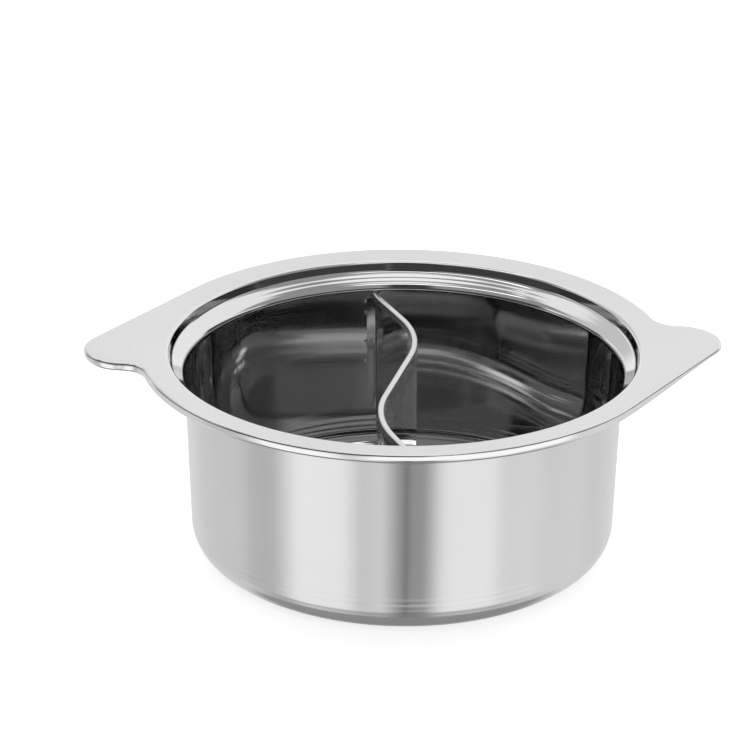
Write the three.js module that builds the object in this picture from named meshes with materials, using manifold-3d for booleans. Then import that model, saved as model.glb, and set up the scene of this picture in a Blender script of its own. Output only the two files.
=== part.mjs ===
// A divided hot pot: a bowl drawn from one steel sheet, with a flange and two ears,
// and an S-shaped sheet welded upright inside it that parts it into two compartments.
//
// Millimetres, +Z up. The origin is the middle of the base, on the face it stands on.
// The two ears point along +X and -X. The rim and its ears repeat after half a turn.

import * as THREE from "three";
import { mergeVertices } from "three/addons/utils/BufferGeometryUtils.js";
import Module from "manifold-3d";

const wasm = await Module();
wasm.setup();

const degrees = THREE.MathUtils.degToRad;

// ---------------------------------------------------------------- driving dimensions

const SHEET = 0.8; // thickness of the steel
const GAP = 0.3; // clearance between the divider and the bowl that it is welded to

// Section of the bowl and rim, measured on the face seen from inside and above.
const HEIGHT = 118; // from the base to the outer edge of the flange
const FLANGE_RADIUS = 144;
const FLANGE_DISH = 1.7; // the flange falls by this much towards the step
const FLANGE_ROUND = 1.8; // radius where the flange turns down into the step
const STEP_RADIUS = 128.1; // top of the short upright step
const STEP_LEAN = 1.6; // how far the foot of the step lies inside its top
const STEP_DEPTH = 7.5; // from the edge of the flange down to the foot of the step
const STEP_FILLET = 1.2; // radius at the foot of the step
const LEDGE_SLOPE = degrees(39.2); // of the ledge between the step and the wall
const LEDGE_ROUND = 6; // radius where the ledge turns down into the wall
const BOWL_RADIUS = 118.9; // at the top of the wall
const WALL_DRAFT = 0.03; // the wall leans out by this much for each unit of height
const BASE_CORNER = 16; // radius between the wall and the floor

// Lip turned down all round the flange and its ears.
const LIP_DEPTH = 4.8;
const LIP_RUN_OUT = 2.2; // how much shallower it is at the tip end of a straight edge
const LIP_FADE = 20; // distance from the straight edge at which it is deep again

// Ears: a straight edge and a small fillet join each round tip to the flange.
const EAR_TIP = new THREE.Vector2(151, 8); // centre of the tip
const EAR_TIP_RADIUS = 22.5;
const EAR_FILLET = 15;
const EAR_OVERLAP = 0.5; // how far the ear plate reaches in over the flange

// Divider line: a straight middle, a bend each way, and straight ends up to the wall.
const DIVIDER_CENTRE = new THREE.Vector2(-2.9, -2.5); // it is welded a little off centre
const DIVIDER_TOP = 101; // height of its upper edge
const MIDDLE_HALF = 28.2; // half the length of the straight middle
const MIDDLE_LEAN = degrees(13.5); // the middle's lean off the Y axis
const BEND_RADIUS = 84;
const END_LEAN = degrees(23.5); // the ends' lean, the other way
const END_REACH = 60; // length of each end before the wall trims it

// Hem folded along the divider's upper edge.
const HEM_WIDTH = 3.4;
const HEM_HEIGHT = 4;
const HEM_ROUND = 1.1;
const SHEET_SIDE = (HEM_WIDTH - SHEET) / 2; // the sheet is flush with the hem's +X side

// Tab bent along the wall at each end of the divider, for the welds.
const TAB_WIDTH = 4.6;
const TAB_TOP = 98;
const TAB_FOOT_OUTER = 37; // height of its foot on the free side
const TAB_FOOT_INNER = 28; // height of its foot beside the divider

// Facets: how finely each kind of round is cut.
const TURN_STEPS = 96; // sides of the bowl, and of the flange's round stretches
const TURN_STEP = (2 * Math.PI) / TURN_STEPS;
const SECTION_STEP = degrees(18); // rounds in the section
const EAR_STEP = degrees(10); // rounds of the ears' outline
const BEND_STEPS = 7; // each bend of the divider
const HEM_STEPS = 3; // each rounded edge of the hem
const MERGE_WITHIN = 1e-4; // points closer than this are one

const AXIS = new THREE.Vector2(); // the bowl's axis, seen from above

// ------------------------------------------------------------------- solids and meshes

// A closed geometry as a solid: positions only, shared vertices, no empty faces.
function toSolid(geometry) {
  const bare = new THREE.BufferGeometry();
  bare.setAttribute("position", geometry.getAttribute("position"));
  bare.setIndex(geometry.index);
  const merged = mergeVertices(bare, MERGE_WITHIN);
  const index = merged.index.array;
  const faces = [];
  for (let i = 0; i < index.length; i += 3) {
    const [a, b, c] = index.slice(i, i + 3);
    if (a !== b && b !== c && c !== a) {
      faces.push(a, b, c);
    }
  }
  const vertProperties = new Float32Array(merged.getAttribute("position").array);
  const triVerts = new Uint32Array(faces);
  return new wasm.Manifold(new wasm.Mesh({ numProp: 3, vertProperties, triVerts }));
}

function toMesh(name, solid, material) {
  const { vertProperties, triVerts } = solid.getMesh();
  const geometry = new THREE.BufferGeometry();
  geometry.setAttribute("position", new THREE.BufferAttribute(vertProperties, 3));
  geometry.setIndex(new THREE.BufferAttribute(triVerts, 1));
  geometry.computeVertexNormals();
  const mesh = new THREE.Mesh(geometry, material);
  mesh.name = name;
  return mesh;
}

// A flat shape extruded upwards from height z.
function slab(shape, z, depth, bevel = { bevelEnabled: false }) {
  return new THREE.ExtrudeGeometry(shape, { depth, ...bevel }).translate(0, 0, z);
}

// A section of (radius, height) points, from axis to axis, turned about Z.
function turned(section) {
  return new THREE.LatheGeometry(section, TURN_STEPS).rotateX(Math.PI / 2);
}

function polar(radius, angle) {
  return new THREE.Vector2(radius * Math.cos(angle), radius * Math.sin(angle));
}

// Points of an arc in even steps no longer than `step`; it runs either way round.
function arcPoints(centre, radius, from, to, step) {
  const count = Math.max(1, Math.ceil(Math.abs(to - from) / step));
  return Array.from({ length: count + 1 }, (_, i) => {
    return polar(radius, from + ((to - from) * i) / count).add(centre);
  });
}

// --------------------------------------------------------------------- bowl and flange

// Corners of the sheet's upper face, from the middle of the floor out to the flange,
// each with the radius that rounds it.
const stepFoot = { r: STEP_RADIUS - STEP_LEAN, z: HEIGHT - STEP_DEPTH };
const wallTop = stepFoot.z - (stepFoot.r - BOWL_RADIUS) * Math.tan(LEDGE_SLOPE);
const floorRadius = BOWL_RADIUS - WALL_DRAFT * (wallTop - SHEET);
const flangeEnd = FLANGE_RADIUS - EAR_OVERLAP / 2; // halfway across that overlap
const wallCorners = [
  { r: 0, z: SHEET, round: 0 },
  { r: floorRadius, z: SHEET, round: BASE_CORNER },
  { r: BOWL_RADIUS, z: wallTop, round: LEDGE_ROUND },
];
const faceCorners = [
  ...wallCorners,
  { ...stepFoot, round: STEP_FILLET },
  { r: STEP_RADIUS, z: HEIGHT - FLANGE_DISH, round: FLANGE_ROUND },
  { r: flangeEnd, z: HEIGHT, round: 0 },
];

// The corners joined by lines and rounds, moved off the upper face by `depth`: positive
// into the sheet, negative into the bowl. The rounds keep their centres.
function facePath(corners, depth) {
  const at = corners.map(({ r, z }) => new THREE.Vector2(r, z));
  const along = at.slice(1).map((p, i) => p.clone().sub(at[i]).normalize());
  const into = along.map((d) => new THREE.Vector2(d.y, -d.x));
  const last = at.length - 1;
  const points = [at[0].clone().addScaledVector(into[0], depth)];
  for (let i = 1; i < last; i += 1) {
    const turn = Math.sign(along[i - 1].cross(along[i]));
    const bend = Math.acos(along[i - 1].dot(along[i]));
    const { round } = corners[i];
    const centre = at[i]
      .clone()
      .addScaledVector(along[i - 1], -round * Math.tan(bend / 2))
      .addScaledVector(into[i - 1], -turn * round);
    const from = into[i - 1].clone().multiplyScalar(turn).angle();
    points.push(...arcPoints(centre, round + turn * depth, from, from + turn * bend, SECTION_STEP));
  }
  points.push(at[last].clone().addScaledVector(into[last - 1], depth));
  return points;
}

// The drawn sheet, from the middle of the floor to the edge of the round flange.
function makeBowl() {
  const under = facePath(faceCorners, SHEET);
  const upper = facePath(faceCorners, 0);
  return toSolid(turned([...under, ...upper.reverse()]));
}

// The space inside the wall, up to the ledge, kept `inset` clear of the sheet.
function makeCavity(inset) {
  const wall = facePath(wallCorners, -inset);
  return toSolid(turned([...wall, new THREE.Vector2(0, wall.at(-1).y)]));
}

// ------------------------------------------------------------------------ rim and ears

// Directions, from the flange's centre and from the tip's, in which the straight edge,
// the tip, the fillet and the flange touch one another.
const tipAngle = EAR_TIP.angle();
const tipReach = EAR_TIP.length();
const filletReach = FLANGE_RADIUS + EAR_FILLET;
const filletToTip = EAR_TIP_RADIUS + EAR_FILLET;
const filletCosine =
  (filletReach ** 2 + tipReach ** 2 - filletToTip ** 2) / (2 * filletReach * tipReach);
const straightAngle = tipAngle - Math.acos((FLANGE_RADIUS - EAR_TIP_RADIUS) / tipReach);
const filletAngle = tipAngle + Math.acos(filletCosine);
const filletCentre = polar(filletReach, filletAngle);
const tipEndAngle = filletCentre.clone().sub(EAR_TIP).angle();

// Outline of the flange with both ears, moved inwards by `inset`. The fillet's arc is
// seen from its own centre, so its directions point the other way.
function rimOutline(inset) {
  const tip = arcPoints(EAR_TIP, EAR_TIP_RADIUS - inset, straightAngle, tipEndAngle, EAR_STEP);
  const [filletStart, filletEnd] = [tipEndAngle + Math.PI, filletAngle + Math.PI];
  const fillet = arcPoints(filletCentre, EAR_FILLET + inset, filletStart, filletEnd, EAR_STEP);
  const flangeStop = straightAngle + Math.PI;
  const flange = arcPoints(AXIS, FLANGE_RADIUS - inset, filletAngle, flangeStop, TURN_STEP);
  const half = [...tip, ...fillet.slice(1), ...flange.slice(1)];
  return [...half, ...half.map((p) => p.clone().negate())];
}

function makeEarPlate() {
  const shape = new THREE.Shape(rimOutline(0));
  const inside = arcPoints(AXIS, FLANGE_RADIUS - EAR_OVERLAP, 0, 2 * Math.PI, TURN_STEP);
  shape.holes.push(new THREE.Path(inside.slice(1)));
  return toSolid(slab(shape, HEIGHT - SHEET, SHEET));
}

// How deep the lip hangs at a point of the rim: it runs out along each straight edge.
function lipDepth(x, y) {
  const p = new THREE.Vector2(x, y);
  if (p.dot(EAR_TIP) < 0) {
    p.negate();
  }
  const across = polar(1, straightAngle);
  const along = polar(1, straightAngle + Math.PI / 2);
  const gone = THREE.MathUtils.smoothstep(p.dot(along), 0, EAR_TIP.dot(along));
  const near = 1 - THREE.MathUtils.smoothstep(FLANGE_RADIUS - p.dot(across), 0, LIP_FADE);
  return LIP_DEPTH - LIP_RUN_OUT * gone * near;
}

// A strip under the rim's edge, with its lower points moved to the lip's depth there.
function makeLip() {
  const shape = new THREE.Shape(rimOutline(0));
  shape.holes.push(new THREE.Path(rimOutline(SHEET)));
  const geometry = slab(shape, HEIGHT - LIP_DEPTH, LIP_DEPTH);
  const position = geometry.getAttribute("position");
  const middle = HEIGHT - LIP_DEPTH / 2;
  for (let i = 0; i < position.count; i += 1) {
    if (position.getZ(i) < middle) {
      position.setZ(i, HEIGHT - lipDepth(position.getX(i), position.getY(i)));
    }
  }
  return toSolid(geometry);
}

function makePotBody() {
  return makeBowl().add(makeEarPlate()).add(makeLip());
}

// ----------------------------------------------------------------------------- divider

// The bend on the +Y side, seen from the divider's own centre, and the end beyond it.
const bendCentre = new THREE.Vector2(-BEND_RADIUS, MIDDLE_HALF).rotateAround(AXIS, -MIDDLE_LEAN);
const endDirection = new THREE.Vector2(-Math.sin(END_LEAN), Math.cos(END_LEAN));

// The divider's line moved sideways, from its own centre to past the wall on the +Y side.
function halfLine(sideways) {
  const step = (MIDDLE_LEAN + END_LEAN) / BEND_STEPS;
  const bend = arcPoints(bendCentre, BEND_RADIUS + sideways, -MIDDLE_LEAN, END_LEAN, step);
  return [...bend, bend.at(-1).clone().addScaledVector(endDirection, END_REACH)];
}

// A strip along the whole line, between two distances to its +X side. Half a turn of the
// line makes its other half, where both distances change sign.
function dividerStrip(from, to) {
  const half = [...halfLine(to), ...halfLine(from).reverse()];
  const otherHalf = [...halfLine(-from), ...halfLine(-to).reverse()];
  const outline = [...half, ...otherHalf.map((p) => p.negate())];
  return new THREE.Shape(outline.map((p) => p.add(DIVIDER_CENTRE)));
}

// Where the sheet meets the wall: at its +Y end, or its -Y end for a turn of pi.
function dividerEnd(turn) {
  const [bendEnd] = halfLine(SHEET_SIDE * Math.cos(turn)).slice(-2);
  const start = bendEnd.rotateAround(AXIS, turn).add(DIVIDER_CENTRE);
  const heading = endDirection.clone().rotateAround(AXIS, turn);
  const ahead = start.dot(heading);
  const reach = Math.sqrt(ahead ** 2 - start.lengthSq() + BOWL_RADIUS ** 2) - ahead;
  return start.addScaledVector(heading, reach);
}

// A tab: the part of a thin shell along the wall that lies beside the divider's end.
function makeTab(shell, turn) {
  const end = dividerEnd(turn);
  const face = new THREE.Shape([
    new THREE.Vector2(0, TAB_FOOT_INNER),
    new THREE.Vector2(0, TAB_TOP),
    new THREE.Vector2(-TAB_WIDTH, TAB_TOP),
    new THREE.Vector2(-TAB_WIDTH, TAB_FOOT_OUTER),
  ]);
  const block = slab(face, -TAB_WIDTH, 2 * TAB_WIDTH).rotateX(Math.PI / 2);
  block.rotateZ(end.angle() - Math.PI / 2).translate(end.x, end.y, 0);
  return toSolid(block).intersect(shell);
}

// The fold along the upper edge, rounded above and below.
function makeHem() {
  const straight = HEM_HEIGHT - 2 * HEM_ROUND;
  const foot = DIVIDER_TOP - HEM_ROUND - straight;
  return toSolid(
    slab(dividerStrip(-HEM_WIDTH / 2, HEM_WIDTH / 2), foot, straight, {
      bevelThickness: HEM_ROUND,
      bevelSize: HEM_ROUND,
      bevelOffset: -HEM_ROUND,
      bevelSegments: HEM_STEPS,
    }),
  );
}

function makeDivider() {
  const cavity = makeCavity(GAP);
  const shell = cavity.subtract(makeCavity(GAP + SHEET));
  const strip = dividerStrip(SHEET_SIDE - SHEET / 2, SHEET_SIDE + SHEET / 2);
  const sheet = toSolid(slab(strip, 0, DIVIDER_TOP - HEM_HEIGHT / 2));
  const upright = sheet.add(makeHem()).intersect(cavity);
  return upright.add(makeTab(shell, 0)).add(makeTab(shell, Math.PI));
}

// -------------------------------------------------------------------------- scene graph

const satinSteel = new THREE.MeshStandardMaterial({ color: 0xd2d2d2, roughness: 0.35, metalness: 1 });
const polishedSteel = new THREE.MeshStandardMaterial({ color: 0xc6c6c8, roughness: 0.12, metalness: 1 });

const hotPot = new THREE.Group();
hotPot.add(toMesh("pot_body", makePotBody(), satinSteel));
hotPot.add(toMesh("divider", makeDivider(), polishedSteel));

export default hotPot;
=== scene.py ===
"""A divided hot pot of stainless steel: a deep-drawn bowl with a flange, a folded lip and
two ears, and an S-shaped sheet tacked upright inside it.

Metres, +Z up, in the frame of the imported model: the middle of the base is the origin.
"""

import math

import bmesh
import bpy
from mathutils import Matrix, Vector


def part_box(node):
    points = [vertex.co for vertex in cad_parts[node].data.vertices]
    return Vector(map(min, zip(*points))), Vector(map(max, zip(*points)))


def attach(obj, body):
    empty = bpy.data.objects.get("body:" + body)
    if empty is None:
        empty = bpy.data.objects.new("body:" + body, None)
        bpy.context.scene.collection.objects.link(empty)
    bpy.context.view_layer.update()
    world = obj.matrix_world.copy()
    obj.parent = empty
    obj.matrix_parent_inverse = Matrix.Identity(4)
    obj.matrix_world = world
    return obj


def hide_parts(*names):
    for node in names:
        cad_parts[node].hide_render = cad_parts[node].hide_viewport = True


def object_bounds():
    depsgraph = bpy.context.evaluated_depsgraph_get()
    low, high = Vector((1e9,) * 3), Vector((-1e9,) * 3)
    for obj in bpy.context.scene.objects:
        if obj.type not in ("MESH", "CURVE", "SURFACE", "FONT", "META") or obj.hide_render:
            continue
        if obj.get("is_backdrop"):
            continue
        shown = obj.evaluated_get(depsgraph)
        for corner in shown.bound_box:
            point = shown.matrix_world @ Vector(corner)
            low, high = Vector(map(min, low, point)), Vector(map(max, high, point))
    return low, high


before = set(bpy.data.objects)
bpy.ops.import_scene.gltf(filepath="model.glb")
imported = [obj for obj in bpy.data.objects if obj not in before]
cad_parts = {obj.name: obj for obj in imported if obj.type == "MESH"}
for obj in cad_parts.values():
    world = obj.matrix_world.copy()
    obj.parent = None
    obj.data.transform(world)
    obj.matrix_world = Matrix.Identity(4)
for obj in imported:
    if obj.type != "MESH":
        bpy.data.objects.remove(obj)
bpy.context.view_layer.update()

# ------------------------------------------------------------------- drawn pot body
# One disc of 0.8 mm stainless sheet, drawn on a press into base, wall, ledge, step and
# flange. The blank's edge is trimmed to an outline with two ears, and folded down all
# round into a narrow lip.

MM = 0.001
HAIR = 0.01 * MM  # points nearer than this are one point
SHEET = 0.8 * MM
rim_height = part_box("pot_body")[1].z

FLANGE_RADIUS = 144 * MM
FLANGE_FLAT = 136 * MM  # out to here the flange is turned, and beyond it runs into the ears
FLANGE_DISH = 1.7 * MM  # how far the flange falls towards the step
DISH_CURVE = 1.3  # 1 would be a plain cone
STEP_RADIUS = 128.1 * MM
STEP_LEAN = 1.6 * MM  # how far its foot lies inside its top
LEDGE_TOP = 110.5 * MM
LEDGE_FOOT = 104.3 * MM
BOWL_RADIUS = 118.9 * MM
WALL_DRAFT = 0.03  # how much wider the bowl gets for each unit of height
BASE_CORNER = 16 * MM
FLOOR_RADIUS = BOWL_RADIUS - WALL_DRAFT * (LEDGE_FOOT - SHEET)
flange_level = rim_height - FLANGE_DISH
corner_top = SHEET + BASE_CORNER

# Each corner of the section: radius, height, rounding radius, and facets of the rounding.
SECTION = (
    (FLOOR_RADIUS, SHEET, BASE_CORNER, 36),
    (BOWL_RADIUS, LEDGE_FOOT, 6 * MM, 8),
    (STEP_RADIUS - STEP_LEAN, LEDGE_TOP, 3.2 * MM, 8),
    (STEP_RADIUS, flange_level, 1.8 * MM, 7),
)

EAR_TIP = Vector((151, 8, 0)) * MM  # the middle of its round
EAR_TIP_RADIUS = 22.5 * MM
EAR_FILLET = 15 * MM  # from the tip back into the flange
EAR_STEPS = (36, 28, 8)  # of the straight edge, the tip and the fillet
FLANGE_STEPS = 126  # of the flange between its two ears

LIP_DEPTH = 4.8 * MM
LIP_ROLL = 1.2 * MM  # outer radius of the fold
LIP_FLARE = 0.2 * MM  # how far the lip leans out
LIP_TUCK = (0.5 * MM, 1.2 * MM)  # how far its own edge is tucked in again, and how high
LIP_FACETS = (6, 3)  # of the roll and of the tuck
LIP_RUN_OUT = 2.2 * MM  # how much shallower the lip is at the tip end of a straight edge
LIP_FADE = 20 * MM  # how far from the straight edge the lip is full again

# Faint rings that the drawing tools leave: how far apart and how deep.
CORNER_RINGS = (3.4 * MM, 0.06 * MM)
LEDGE_RINGS = (2.6 * MM, 0.06 * MM)
RINGS_TOP = 24 * MM  # height on the wall where the corner's rings have run out

# Cuts all round that give the flange, ledge and wall the faces for their relief.
FLANGE_CUTS = 3
LEDGE_CUTS = 19
WALL_CUTS = 9
ACROSS_FLANGE = 2 * MM  # edges that cross the flange's faces reach further out than this
DOWN_LEDGE = 3 * MM  # edges that run down the ledge fall further than this


def polar(radius, angle, height=0.0):
    return Vector((radius * math.cos(angle), radius * math.sin(angle), height))


def heading(vector):
    return math.atan2(vector.y, vector.x)


def sweep(mesh, geom, angle=0.0, centre=(0, 0, 0), shift=(0, 0, 0), steps=1):
    """Sweeps geometry about an upright axis, or along a line; returns what it ends on."""
    step = Vector(shift) / steps
    return bmesh.ops.spin(
        mesh, geom=geom, cent=centre, axis=(0, 0, 1), dvec=step, angle=angle, steps=steps
    )["geom_last"]


def weld(mesh):
    bmesh.ops.remove_doubles(mesh, verts=mesh.verts, dist=HAIR)


# Where the ear's straight edge, tip and fillet touch each other and the flange.
tip_angle = heading(EAR_TIP)
tip_reach = EAR_TIP.length
fillet_reach = FLANGE_RADIUS + EAR_FILLET
fillet_gap = EAR_TIP_RADIUS + EAR_FILLET
fillet_cosine = (fillet_reach**2 + tip_reach**2 - fillet_gap**2) / (2 * fillet_reach * tip_reach)
straight_angle = tip_angle - math.acos((FLANGE_RADIUS - EAR_TIP_RADIUS) / tip_reach)
fillet_angle = tip_angle + math.acos(fillet_cosine)
fillet_centre = polar(fillet_reach, fillet_angle)
tip_end_angle = heading(fillet_centre - EAR_TIP)
straight_run = polar(1, straight_angle + math.pi / 2)
straight_length = EAR_TIP.dot(straight_run)
ear_span = fillet_angle - straight_angle

pot = bmesh.new()

# The section from the middle of the floor to the flange, turned about the axis. Its
# stretches start and stop where the ears do, so that their points line up.
points = [(0.0, SHEET)] + [(r, z) for r, z, _, _ in SECTION] + [(FLANGE_FLAT, flange_level)]
wire = [pot.verts.new(polar(r, straight_angle, z)) for r, z in points]
for inner, outer in zip(wire, wire[1:]):
    pot.edges.new((inner, outer))
end = pot.verts[:] + pot.edges[:]
for stretch in (ear_span, math.pi - ear_span) * 2:
    steps = sum(EAR_STEPS) if stretch == ear_span else FLANGE_STEPS
    end = sweep(pot, end, angle=stretch, steps=steps)
weld(pot)
inner_loop = [e for e in pot.edges if e.is_boundary]

# The outline, drawn at the flange's level: along the straight edge, round the tip, back
# round the fillet and on round the flange, then the same again after half a turn.
pen = [pot.verts.new(polar(FLANGE_RADIUS, straight_angle, flange_level))]
for turn in (0, math.pi):
    swing = Matrix.Rotation(turn, 3, "Z")
    straight = swing @ (straight_run * straight_length)
    pen = sweep(pot, pen, shift=straight, steps=EAR_STEPS[0])
    tip_swing = tip_end_angle - straight_angle
    pen = sweep(pot, pen, tip_swing, swing @ EAR_TIP, steps=EAR_STEPS[1])
    fillet_swing = fillet_angle - tip_end_angle
    pen = sweep(pot, pen, fillet_swing, swing @ fillet_centre, steps=EAR_STEPS[2])
    pen = sweep(pot, pen, math.pi - ear_span, steps=FLANGE_STEPS)
weld(pot)
outline = [e for e in pot.edges if e.is_wire]


def stretch_of(edge):
    """0 and 2 for the two ears, 1 and 3 for the flange between them."""
    middle = (edge.verts[0].co + edge.verts[1].co) / 2
    halves, past_ear = divmod((heading(middle) - straight_angle) % (2 * math.pi), math.pi)
    return 2 * int(halves) + int(past_ear > ear_span)


# Both loops have as many points in each stretch, and are joined one stretch at a time.
for stretch in range(4):
    pair = [e for e in inner_loop + outline if stretch_of(e) == stretch]
    bmesh.ops.bridge_loops(pot, edges=pair)


def extrude_down(edges, level):
    """Extrudes edges down to an even level; returns the new edges and vertices."""
    geom = bmesh.ops.extrude_edge_only(pot, edges=edges)["geom"]
    verts = [g for g in geom if isinstance(g, bmesh.types.BMVert)]
    for vert in verts:
        vert.co.z = level
    pot.normal_update()
    return [g for g in geom if isinstance(g, bmesh.types.BMEdge) and g.is_boundary], verts


# The lip: the edge extruded down, leaning out at first and then tucked in, and shallower
# along each straight edge of an ear.
lip_middle, middle_verts = extrude_down(outline, flange_level - LIP_DEPTH + LIP_TUCK[1])
_, end_verts = extrude_down(lip_middle, flange_level - LIP_DEPTH)
facing = math.copysign(1, middle_verts[0].normal.dot(middle_verts[0].co))
half_turn = Matrix.Rotation(math.pi, 3, "Z")
for verts, lean in ((middle_verts, LIP_FLARE), (end_verts, LIP_FLARE - LIP_TUCK[0])):
    for vert in verts:
        half = vert.co if vert.co.dot(EAR_TIP) > 0 else half_turn @ vert.co
        along = min(max(half.dot(straight_run) / straight_length, 0), 1)
        across = FLANGE_RADIUS - half.dot(polar(1, straight_angle))
        near = 1 - min(max(across / LIP_FADE, 0), 1)
        run_out = LIP_RUN_OUT * along**2 * (3 - 2 * along) * near
        shallower = run_out * (flange_level - vert.co.z) / LIP_DEPTH
        outwards = Vector((vert.normal.x, vert.normal.y, 0)).normalized() * facing
        vert.co += outwards * lean + Vector((0, 0, shallower))


def round_over(mesh, edges, offset, segments):
    bmesh.ops.bevel(
        mesh, geom=edges, offset=offset, offset_type="OFFSET", segments=segments,
        profile=0.5, affect="EDGES", material=-1,
    )


round_over(pot, outline, LIP_ROLL, LIP_FACETS[0])
round_over(pot, lip_middle, LIP_TUCK[0], LIP_FACETS[1])
for before, corner, after in zip(points, SECTION, points[2:]):
    radius, height, rounding, facets = corner
    rise_in = math.atan2(height - before[1], radius - before[0])
    rise_out = math.atan2(after[1] - height, after[0] - radius)
    ring = [
        e for e in pot.edges
        if all(abs(math.hypot(v.co.x, v.co.y) - radius) < HAIR for v in e.verts)
        and all(abs(v.co.z - height) < HAIR for v in e.verts)
    ]
    round_over(pot, ring, rounding * math.tan(abs(rise_out - rise_in) / 2), facets)

# Three more rings across the flange carry its dish, which is flat by the ears.
across_flange = [
    e for e in pot.edges
    if all(v.co.z > flange_level - HAIR for v in e.verts)
    and abs(e.verts[0].co.length - e.verts[1].co.length) > ACROSS_FLANGE
]
bmesh.ops.subdivide_edges(pot, edges=across_flange, cuts=FLANGE_CUTS, use_grid_fill=True)
for vert in pot.verts:
    radius = math.hypot(vert.co.x, vert.co.y)
    share = (radius - STEP_RADIUS) / (FLANGE_RADIUS - STEP_RADIUS)
    vert.co.z += FLANGE_DISH * (1 - (1 - min(max(share, 0), 1)) ** DISH_CURVE)

# The ledge and the foot of the wall are cut finely enough to carry their rings.
ledge_slope = math.atan2(LEDGE_TOP - LEDGE_FOOT, SECTION[2][0] - BOWL_RADIUS)
down_ledge = [
    e for e in pot.edges
    if abs(e.verts[0].co.z - e.verts[1].co.z) > DOWN_LEDGE
    and all(LEDGE_FOOT < v.co.z < LEDGE_TOP for v in e.verts)
]
bmesh.ops.subdivide_edges(pot, edges=down_ledge, cuts=LEDGE_CUTS, use_grid_fill=True)
for cut in range(1, WALL_CUTS + 1):
    level = corner_top + (RINGS_TOP - corner_top) * cut / WALL_CUTS
    bmesh.ops.bisect_plane(
        pot, geom=pot.verts[:] + pot.edges[:] + pot.faces[:],
        plane_co=(0, 0, level), plane_no=(0, 0, 1),
    )


def ring_height(along, length, spacing, depth):
    """The rings' relief at a distance along a length, where they fade out at both ends."""
    faded = math.sin(math.pi * min(max(along / length, 0), 1))
    return depth * math.sin(2 * math.pi * along / spacing) * math.sqrt(faded)


corner_length = RINGS_TOP - corner_top + BASE_CORNER * math.pi / 2
ledge_length = (LEDGE_TOP - LEDGE_FOOT) / math.sin(ledge_slope)
for vert in pot.verts:
    outwards = Vector((vert.co.x, vert.co.y, 0)).normalized()
    if vert.co.z < RINGS_TOP:
        slant = math.asin(min(max((corner_top - vert.co.z) / BASE_CORNER, 0), 1))
        above = max(vert.co.z - corner_top, 0)
        along = RINGS_TOP - corner_top + BASE_CORNER * slant - above
        relief = ring_height(along, corner_length, *CORNER_RINGS)
        vert.co -= (outwards * math.cos(slant) - Vector((0, 0, math.sin(slant)))) * relief
    elif LEDGE_FOOT < vert.co.z < LEDGE_TOP:
        along = (LEDGE_TOP - vert.co.z) / math.sin(ledge_slope)
        relief = ring_height(along, ledge_length, *LEDGE_RINGS) * outwards.y**2
        lift = Vector((0, 0, math.cos(ledge_slope)))
        vert.co += (lift - outwards * math.sin(ledge_slope)) * relief

bmesh.ops.recalc_face_normals(pot, faces=pot.faces)


def finish_mesh(mesh, name):
    """Makes an object of a mesh, smooth shaded, and puts it in the scene."""
    for face in mesh.faces:
        face.smooth = True
    data = bpy.data.meshes.new(name)
    mesh.to_mesh(data)
    mesh.free()
    piece = bpy.data.objects.new(name, data)
    bpy.context.scene.collection.objects.link(piece)
    return piece


drawn_pot = finish_mesh(pot, "drawn_pot")

SHARP = math.radians(60)  # an edge that turns by more than this is a corner
DEBURR = 0.15 * MM


def give_thickness(piece, offset):
    """Makes a sheet 0.8 mm thick, and takes the sharpness off its cut edges."""
    sheet = piece.modifiers.new("sheet", "SOLIDIFY")
    sheet.thickness = SHEET
    sheet.offset = offset
    sheet.use_even_offset = True
    deburred = piece.modifiers.new("deburred", "BEVEL")
    deburred.limit_method = "ANGLE"
    deburred.angle_limit = SHARP
    deburred.width = DEBURR
    deburred.segments = 2
    deburred.harden_normals = True
    return sheet


pot_sheet = give_thickness(drawn_pot, -1)


def linear(hex_colour):
    """An sRGB hex colour as linear red, green, blue and alpha."""
    parts = [int(hex_colour[i:i + 2], 16) / 255 for i in (0, 2, 4)]
    return [c / 12.92 if c <= 0.04045 else ((c + 0.055) / 1.055) ** 2.4 for c in parts] + [1]


def add_node(tree, kind, inputs=None, **settings):
    """Adds a node and gives back its outputs. An input, by its name or number, is a value,
    or an output to link."""
    node = tree.nodes.new(kind)
    for name, value in settings.items():
        setattr(node, name, value)
    for socket, value in (inputs or {}).items():
        if isinstance(value, bpy.types.NodeSocket):
            tree.links.new(value, node.inputs[socket])
        else:
            node.inputs[socket].default_value = value
    return node.outputs


# Real polishing and brushing marks are 0.02 to 0.1 mm apart, too fine to show, and are
# drawn as coarse as these spacings to show at all.
POLISH_MARKS = 1.2 * MM
BRUSH_MARKS = 0.5 * MM
MARK_STRETCH = 0.015  # a mark's width as a share of its length round the pot
MARK_RANGE = (0.3, 0.7)  # nearly all of the noise lies between these
UNEVEN = (0.96, 1.05)  # how far the marks change the roughness, as a share of it
CLOUD_SIZE = 60 * MM  # of the faint patches left by handling and cleaning
QUARTER_TURN = 0.25  # lights smear across the marks, not along them


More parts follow.
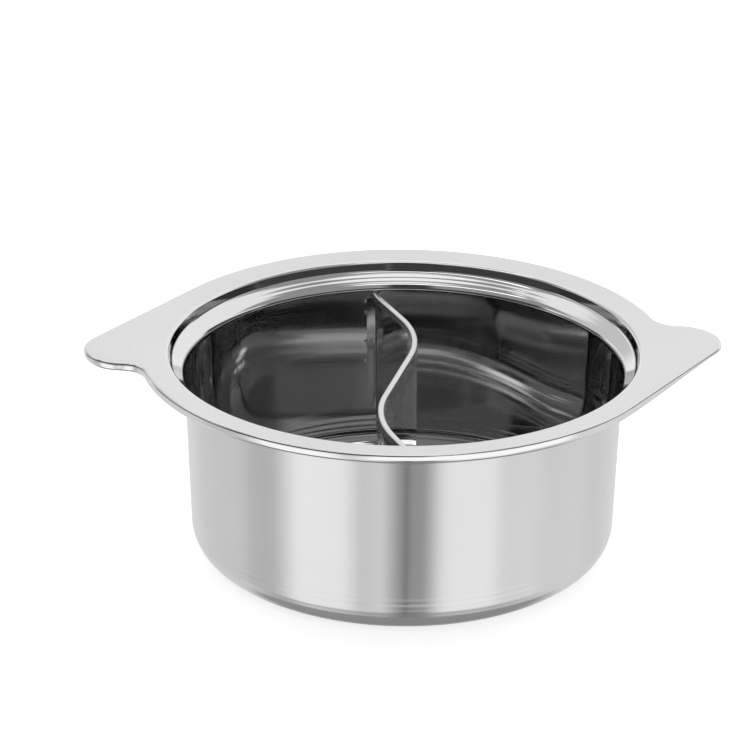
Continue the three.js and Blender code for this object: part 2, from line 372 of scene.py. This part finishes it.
def turned_steel(name, colours, roughness, anisotropy, mark_spacing, mark_depth):
    """Stainless steel that was finished on a lathe, with marks that run round the axis."""
    material = bpy.data.materials.new(name)
    material.use_nodes = True
    tree = material.node_tree
    surface = tree.nodes["Principled BSDF"]
    surface.inputs["Metallic"].default_value = 1
    surface.inputs["Anisotropic"].default_value = anisotropy
    surface.inputs["Anisotropic Rotation"].default_value = QUARTER_TURN

    # The direction round the axis, whose length is also the distance from it.
    place = add_node(tree, "ShaderNodeTexCoord")["Object"]
    along = add_node(
        tree, "ShaderNodeVectorMath", {0: (0, 0, 1), 1: place}, operation="CROSS_PRODUCT"
    )["Vector"]
    tree.links.new(along, surface.inputs["Tangent"])
    radius = add_node(tree, "ShaderNodeVectorMath", {0: along}, operation="LENGTH")["Value"]

    # Noise that changes fast with radius and height, and slowly round the axis.
    x, y, z = add_node(tree, "ShaderNodeSeparateXYZ", {0: place})
    slow_x = add_node(tree, "ShaderNodeMath", {0: x, 1: MARK_STRETCH}, operation="MULTIPLY")[0]
    slow_y = add_node(tree, "ShaderNodeMath", {0: y, 1: MARK_STRETCH}, operation="MULTIPLY")[0]
    across = add_node(tree, "ShaderNodeCombineXYZ", {0: radius, 1: z, 2: slow_x})[0]
    marks = add_node(
        tree, "ShaderNodeTexNoise",
        {"Vector": across, "W": slow_y, "Scale": 1 / mark_spacing, "Detail": 3, "Roughness": 0.6},
        noise_dimensions="4D",
    )[0]
    least, most = MARK_RANGE
    smoothest, roughest = UNEVEN
    uneven = add_node(
        tree, "ShaderNodeMapRange",
        {0: marks, 1: least, 2: most, 3: roughness * smoothest, 4: roughness * roughest},
    )[0]
    tree.links.new(uneven, surface.inputs["Roughness"])
    relief = add_node(
        tree, "ShaderNodeBump", {"Height": marks, "Strength": 1, "Distance": mark_depth}
    )[0]
    tree.links.new(relief, surface.inputs["Normal"])

    cloud = add_node(
        tree, "ShaderNodeTexNoise", {"Vector": place, "Scale": 1 / CLOUD_SIZE, "Detail": 2}
    )[0]
    tint = add_node(
        tree, "ShaderNodeMix", {0: cloud, 6: linear(colours[0]), 7: linear(colours[1])},
        data_type="RGBA",
    )[2]
    tree.links.new(tint, surface.inputs["Base Color"])
    return material


# Polished with a mop: a near mirror, which looks dark where it faces a dark room and
# shows lines and curves of itself and the divider.
polished_stainless = turned_steel(
    "polished_stainless", ("c8c8c8", "cccccc"), roughness=0.04, anisotropy=0.3,
    mark_spacing=POLISH_MARKS, mark_depth=0.0001 * MM,
)
# Satin finished with an abrasive pad: an even, pale sheen with no clear reflections.
satin_stainless = turned_steel(
    "satin_stainless", ("cecece", "d4d4d4"), roughness=0.28, anisotropy=0.5,
    mark_spacing=POLISH_MARKS, mark_depth=0.001 * MM,
)
# Buffed bright where the tools rub hardest: crisp light and dark bands along the rim.
buffed_stainless = turned_steel(
    "buffed_stainless", ("d4d4d4", "d8d8d8"), roughness=0.06, anisotropy=0.5,
    mark_spacing=POLISH_MARKS, mark_depth=0.0001 * MM,
)
# Brushed on the lathe: lights and shades drawn out into smooth upright bands.
brushed_stainless = turned_steel(
    "brushed_stainless", ("cfcfcf", "d6d6d6"), roughness=0.2, anisotropy=0.95,
    mark_spacing=BRUSH_MARKS, mark_depth=0.00002 * MM,
)

# The sheet's inner side is polished, satin on the flange and buffed between. Its outer
# side is brushed, in as many slots further on.
INNER_FINISHES = (polished_stainless, satin_stainless, buffed_stainless)
SATIN_FROM = STEP_RADIUS + 1.5 * MM
SATIN_FLATNESS = 0.97  # upright share of the normal where the flange is satin
BUFFED_FROM = LEDGE_FOOT - 2 * MM
for material in INNER_FINISHES + (brushed_stainless,) * len(INNER_FINISHES):
    drawn_pot.data.materials.append(material)
pot_sheet.material_offset = len(INNER_FINISHES)
for face in drawn_pot.data.polygons:
    reach = math.hypot(face.center.x, face.center.y)
    if reach > SATIN_FROM and abs(face.normal.z) > SATIN_FLATNESS:
        face.material_index = INNER_FINISHES.index(satin_stainless)
    elif face.center.z > BUFFED_FROM:
        face.material_index = INNER_FINISHES.index(buffed_stainless)

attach(drawn_pot, "root")
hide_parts("pot_body")

# ------------------------------------------------------------------------- divider
# One strip of the same sheet, bent to an S. Its upper edge is folded over into a hem,
# and each end is turned along the wall as a tab, where it is tacked.

DIVIDER_CENTRE = Vector((-2.9, -2.5, 0)) * MM
DIVIDER_FOOT = 1.1 * MM
MIDDLE_HALF = 28.2 * MM  # from the centre to where the sheet starts to bend
MIDDLE_LEAN = math.radians(13.5)
BEND_RADIUS = 84 * MM
END_LEAN = math.radians(23.5)

HEM_WIDTH = 3.4 * MM
HEM_RETURN = 4 * MM  # how far down the folded edge reaches
HEM_CREASES = (1, 0.3, 0, -0.3, -1)  # lines along its top, as shares of half its width
HEM_ROUND = 0.55 * MM  # of its two edges, at the middle of the sheet
HEM_FACETS = 4
HEM_TAPER = 9 * MM  # stretch before the wall over which the hem is pinched
HEM_TIP = 0.7  # of the hem's width that is left at its end
HEM_SLIT = 3.5 * MM  # how deep the pinched hem's top is open
SLIT_WIDTH = 0.4  # as a share of the hem's own
HEM_PAST_FOLD = 0.9 * MM  # how much nearer to the wall the hem ends than the tab's fold begins

TAB_WIDTH = 4.6 * MM
TAB_TOP = 98 * MM
TAB_FOOT = 28 * MM
TAB_SLANT = 9 * MM  # its foot is cut higher on the free side
TAB_FOLD = 1.2 * MM  # radius at the middle of the sheet
WALL_GAP = 0.15 * MM  # between the tab and the wall
HEM_FROM = TAB_TOP + 0.5 * MM  # what lies higher belongs to the hem

FOOT_ROWS = (2, 3.5, 6, 9, 13, 18)  # levels in mm, closest where the base corner curves most
TAB_ROWS = 6
ROW_SLACK = 0.1 * MM  # far less than the rows are apart
MIDDLE_STEPS = 4
BEND_STEPS = 24
END_STEPS = 6
TAPER_STEPS = 9
FOLD_STEPS = 6
TAB_STEPS = 3

divider_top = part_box("divider")[1].z
left = Matrix.Rotation(math.pi / 2, 3, "Z")
middle_run = polar(1, math.pi / 2 - MIDDLE_LEAN)
back_run = polar(1, math.pi / 2 + END_LEAN)
sheet_side = (SHEET - HEM_WIDTH) / 2  # the sheet is flush with the hem's right side


def wall_radius(height):
    """The bowl's inner radius at a height, round its base corner too."""
    above = height - SHEET - BASE_CORNER
    if above < 0:
        return FLOOR_RADIUS - BASE_CORNER + math.sqrt(BASE_CORNER**2 - above**2)
    return FLOOR_RADIUS + WALL_DRAFT * (height - SHEET)


divider = bmesh.new()

# The section at the middle of the S: up the sheet, across the hem and down again.
levels = [DIVIDER_FOOT] + [row * MM for row in FOOT_ROWS] + [TAB_FOOT]
levels += [TAB_FOOT + (TAB_TOP - TAB_FOOT) * row / TAB_ROWS for row in range(1, TAB_ROWS + 1)]
section = [(sheet_side, level) for level in levels]
section += [(side * sheet_side, divider_top - SHEET / 2) for side in HEM_CREASES]
section += [(-sheet_side, divider_top - HEM_RETURN)]
wire = [
    divider.verts.new(DIVIDER_CENTRE + left @ middle_run * side + Vector((0, 0, level)))
    for side, level in section
]
for before, after in zip(wire, wire[1:]):
    divider.edges.new((before, after))
middle_section = wire + divider.edges[:]

# Each half of the S: straight, round the bend, straight on to the wall, and round the
# fold to the tab, which lies flat along the wall. The sheet's side of the hem is the
# outer side of one bend and the inner side of the other.
ends = []
for turn in (0, math.pi):
    swing = Matrix.Rotation(turn, 3, "Z")
    run = swing @ middle_run
    last_run = swing @ back_run
    bend_centre = DIVIDER_CENTRE + run * MIDDLE_HALF + left @ run * BEND_RADIUS
    bend_end = bend_centre - left @ last_run * BEND_RADIUS
    sheet_across = sheet_side * math.cos(turn)
    fold_centre = bend_end + left @ last_run * (sheet_across + TAB_FOLD)
    ahead = fold_centre.dot(last_run)
    fold_reach = wall_radius(TAB_TOP) - WALL_GAP - SHEET / 2 - TAB_FOLD
    reach = math.sqrt(ahead**2 - fold_centre.length_squared + fold_reach**2) - ahead
    fold_centre += last_run * reach
    tab_run = left @ fold_centre.normalized()

    end = sweep(divider, middle_section, shift=run * MIDDLE_HALF, steps=MIDDLE_STEPS)
    end = sweep(divider, end, MIDDLE_LEAN + END_LEAN, bend_centre, steps=BEND_STEPS)
    end = sweep(divider, end, shift=last_run * (reach - HEM_TAPER), steps=END_STEPS)
    end = sweep(divider, end, shift=last_run * HEM_TAPER, steps=TAPER_STEPS)
    verts = [v for v in end if isinstance(v, bmesh.types.BMVert)]
    verts = [v for v in verts if TAB_FOOT - ROW_SLACK < v.co.z < TAB_TOP + ROW_SLACK]
    edges = [e for e in end if isinstance(e, bmesh.types.BMEdge)]
    edges = [e for e in edges if all(v in verts for v in e.verts)]
    fold_turn = last_run.angle(tab_run)
    tab = sweep(divider, verts + edges, fold_turn, fold_centre, steps=FOLD_STEPS)
    sweep(divider, tab, shift=tab_run * TAB_WIDTH, steps=TAB_STEPS)
    ends.append((bend_end, last_run, reach, fold_centre, tab_run, sheet_across))
weld(divider)
corners = [
    e for e in divider.edges
    if e.is_manifold and e.verts[0].co.z > TAB_TOP and e.calc_face_angle() > SHARP
]
round_over(divider, corners, HEM_ROUND, HEM_FACETS)

# The sheet and tabs are cut to the bowl's leaning wall and round base corner, the tabs'
# feet are slanted, and the hem is pinched and slit where it meets the wall.
for bend_end, last_run, reach, fold_centre, tab_run, sheet_across in ends:
    for vert in divider.verts:
        along = (vert.co - bend_end).dot(last_run)
        if along < 0:
            continue
        across = (vert.co - bend_end).dot(left @ last_run)
        level = vert.co.z
        if level > HEM_FROM:
            pinch = max(0, 1 - (reach - along) / HEM_TAPER)
            kept = 1 - (1 - HEM_TIP) * pinch**2
            vert.co += left @ last_run * (across - sheet_across) * (kept - 1)
            vert.co += last_run * HEM_PAST_FOLD * pinch
            if abs(across) < abs(SLIT_WIDTH * sheet_side) and level > divider_top - SHEET:
                vert.co.z -= HEM_SLIT * pinch
            continue
        vert.co -= last_run * (wall_radius(TAB_TOP) - wall_radius(level)) * min(along / reach, 1)
        tab_share = (vert.co - fold_centre).dot(tab_run) / TAB_WIDTH
        if along > reach - HAIR and tab_share > 0:
            slant = TAB_SLANT * min(tab_share, 1) / (TAB_TOP - TAB_FOOT)
            vert.co.z += (TAB_TOP - level) * slant

bmesh.ops.recalc_face_normals(divider, faces=divider.faces)
divider_sheet = finish_mesh(divider, "divider_sheet")
give_thickness(divider_sheet, 0)

# The sheet and its tabs are polished, and the hem is satin.
divider_sheet.data.materials.append(polished_stainless)
divider_sheet.data.materials.append(satin_stainless)
for face in divider_sheet.data.polygons:
    face.material_index = int(face.center.z > HEM_FROM)

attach(divider_sheet, "root")
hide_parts("divider")

# ---------------------------------------------------------------------- weld tacks
# Four small beads of weld metal down the free edge of each tab, which hold the divider
# to the bowl's wall. They are lens-shaped and were left as they cooled.

TACK_RADIUS = 1.1 * MM
TACK_RISE = 0.5  # of its radius, how far a bead stands off the wall
TACK_PAST_TAB = 0.3  # of its radius, how far its middle lies beyond the tab's edge
TACK_LEVELS = (58.5 * MM, 71 * MM, 88.5 * MM, 95.5 * MM)

tacks = bmesh.new()
for _, _, _, fold_centre, tab_run, _ in ends:
    free_edge = heading(fold_centre + tab_run * (TAB_WIDTH + TACK_PAST_TAB * TACK_RADIUS))
    for level in TACK_LEVELS:
        place = polar(wall_radius(level) - WALL_GAP, free_edge, level)
        pose = Matrix.Translation(place) @ Matrix.Rotation(free_edge, 4, "Z")
        bmesh.ops.create_uvsphere(
            tacks, u_segments=16, v_segments=10, radius=TACK_RADIUS,
            matrix=pose @ Matrix.Diagonal((TACK_RISE, 1, 1, 1)),
        )
weld_tacks = finish_mesh(tacks, "weld_tacks")

# Stainless filler, unpolished: a greyer, duller spot on the mirror round it.
stainless_weld = turned_steel(
    "stainless_weld", ("8e8e8e", "b4b4b4"), roughness=0.25, anisotropy=0,
    mark_spacing=POLISH_MARKS, mark_depth=0.001 * MM,
)
weld_tacks.data.materials.append(stainless_weld)

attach(weld_tacks, "root")

# -------------------------------------------------------------------------- studio
# A plain pale floor of paper, in soft light from all round. The surround's soft panels
# and dark parts are what the steel mirrors.

FLOOR_REACH = 6.0
PAPER_GLOW = 0.6  # keeps the pot's shadow on it faint

floor_mesh = bmesh.new()
bmesh.ops.create_circle(floor_mesh, cap_ends=True, segments=96, radius=FLOOR_REACH)
floor = finish_mesh(floor_mesh, "floor")

# White paper: matt and even, with nothing to catch the eye.
white_paper = bpy.data.materials.new("white_paper")
white_paper.use_nodes = True
paper_surface = white_paper.node_tree.nodes["Principled BSDF"]
paper_surface.inputs["Base Color"].default_value = linear("f4f4f4")
paper_surface.inputs["Emission Color"].default_value = linear("ffffff")
paper_surface.inputs["Emission Strength"].default_value = PAPER_GLOW
floor.data.materials.append(white_paper)
floor.visible_glossy = False
floor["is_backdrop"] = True

# Light from all round, and the panels that lie over it: from and to which azimuth, where
# 0 is in front and 90 on the right, and from and to which elevation, all in degrees, how
# soft their edges are across and up, and how bright they are. A later one hides a former.
ROOM_LIGHT = 1.12
PANELS = (
    (-200, 200, -95, -8, 4, 4, 0.87),  # low wall all round
    (-93, -60, -95, -8, 5, 4, 0.71),  # its shaded part on the left
    (-66, -25, -95, -8, 10, 3, 1.38),  # low soft box on the left
    (-25, 22, -95, -8, 5, 3, 0.97),  # table edge in front
    (21, 56, -95, -8, 8, 3, 1.23),  # low soft box on the right
    (56, 118, -95, -8, 5, 4, 0.95),  # low wall beyond it
    (-6, 17, -95, -24, 7, 4, 0.2),  # dark gap between the soft boxes
    (1.0, 3.8, -95, -24, 0.6, 4, 0.0),  # a black stand in the gap
    (-200, 200, -95, -50, 4, 5, 0.35),  # the table in the pot's own shade
    (-200, 200, 70, 95, 4, 6, 1.25),  # ceiling
    (-165, -93, 12, 36, 5, 5, 0.75),  # rear wall on the left
    (-100, 100, 20, 70, 7, 4, 0.38),  # upper wall in front
    (-88, 34, 49, 55, 8, 1.5, 3.0),  # strip light
    (-16, 75, -22, 5, 6, 3, 1.4),  # white card by the camera
    (-126, -12, -13, 11, 6, 3, 0.04),  # dark room on the left
    (-80, -10, 0, 21, 5, 3, 0.06),  # and above it
    (75, 126, -7, 14, 5, 3, 0.04),  # dark room on the right
    (6, 80, 4, 20, 5, 3, 0.06),  # and beside it
    (-16, 10, -6, 46, 5, 3, 0.06),  # dark side, with the camera
)
world = bpy.data.worlds.new("studio")
bpy.context.scene.world = world
world.use_nodes = True
studio = world.node_tree
ray = add_node(studio, "ShaderNodeTexCoord")["Generated"]
ray_x, ray_y, ray_z = add_node(studio, "ShaderNodeSeparateXYZ", {0: ray})
ray_front = add_node(studio, "ShaderNodeMath", {0: ray_y, 1: -1}, operation="MULTIPLY")[0]
azimuth = add_node(studio, "ShaderNodeMath", {0: ray_x, 1: ray_front}, operation="ARCTAN2")[0]
azimuth = add_node(studio, "ShaderNodeMath", {0: azimuth}, operation="DEGREES")[0]
elevation = add_node(studio, "ShaderNodeMath", {0: ray_z}, operation="ARCSINE")[0]
elevation = add_node(studio, "ShaderNodeMath", {0: elevation}, operation="DEGREES")[0]
light = ROOM_LIGHT
for left_edge, right_edge, bottom, top, soft_across, soft_up, bright in PANELS:
    cover = 1
    for angle, low, high, soft in (
        (azimuth, left_edge, right_edge, soft_across), (elevation, bottom, top, soft_up)
    ):
        for edge, fade in ((low, soft), (high, -soft)):
            window = {0: angle, 1: edge - fade, 2: edge + fade, 3: 0, 4: 1}
            part = add_node(
                studio, "ShaderNodeMapRange", window, interpolation_type="SMOOTHSTEP"
            )[0]
            cover = add_node(studio, "ShaderNodeMath", {0: cover, 1: part}, operation="MULTIPLY")[0]
    light = add_node(studio, "ShaderNodeMix", {0: cover, 2: light, 3: bright})[0]

# Behind the pot, the eye sees plain white.
seen = add_node(studio, "ShaderNodeLightPath")["Is Camera Ray"]
light = add_node(studio, "ShaderNodeMix", {0: seen, 2: light, 3: 1.0})[0]
studio.links.new(light, studio.nodes["Background"].inputs["Color"])

# The polished inside mirrors itself many times over.
MIRROR_BOUNCES = 12
bpy.context.scene.view_settings.view_transform = "Standard"
bpy.context.scene.cycles.glossy_bounces = MIRROR_BOUNCES

# -------------------------------------------------------------------------- camera
# A long lens, a little over one and a half metres away and over 0.6 m above the rim.

CAMERA_PLACE = Vector((0, -1493.2, 746.3)) * MM
CAMERA_AIM = Vector((-16.96, 0, 100.68)) * MM
CAMERA_ROLL = math.radians(0.36)
LENS = 143.8  # mm, as the film is
FILM_WIDTH = 36
SEES_TO = 50.0  # metres

camera_data = bpy.data.cameras.new("camera")
camera_data.lens = LENS
camera_data.sensor_width = FILM_WIDTH
camera_data.clip_end = SEES_TO
camera = bpy.data.objects.new("camera", camera_data)
bpy.context.scene.collection.objects.link(camera)
look = (CAMERA_AIM - CAMERA_PLACE).to_track_quat("-Z", "Y").to_matrix().to_4x4()
camera.matrix_world = (
    Matrix.Translation(CAMERA_PLACE) @ look @ Matrix.Rotation(CAMERA_ROLL, 4, "Z")
)
bpy.context.scene.camera = camera

low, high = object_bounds()
